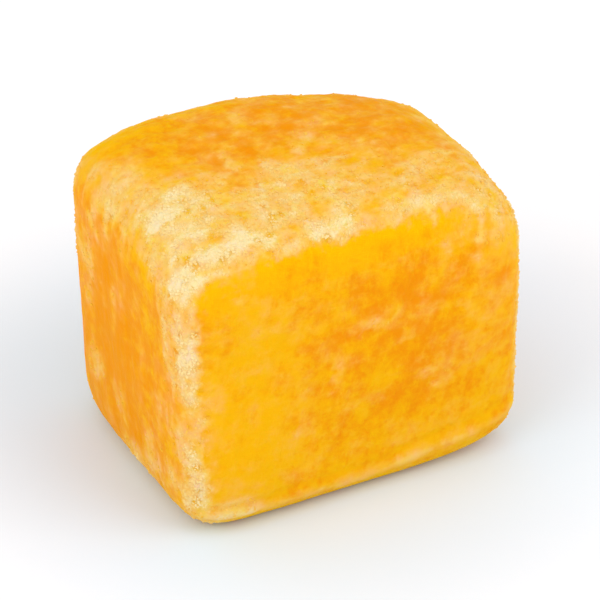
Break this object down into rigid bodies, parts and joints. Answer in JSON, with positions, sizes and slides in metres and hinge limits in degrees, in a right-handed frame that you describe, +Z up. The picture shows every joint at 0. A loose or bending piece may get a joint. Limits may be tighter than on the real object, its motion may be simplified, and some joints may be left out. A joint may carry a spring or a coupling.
{
  "type": "dried mango chunk",
  "caption": "Soft, round-edged block of sugar-dusted dried mango, worn at its corners, that lies flat on its foot.",
  "frame": {"origin": "middle of the flat foot, under the middle of the chunk's box", "axes": "+Z up, +X along the long front cut to the right, -Y out of the front cut"},
  "size_m": [0.02, 0.0156, 0.0168],
  "materials": {
    "flesh": "golden orange dried fruit, half matt under a dusting of fine sugar"
  },
  "bodies": {
    "root": {"mango_chunk": "flesh"}
  },
  "joints": []
}
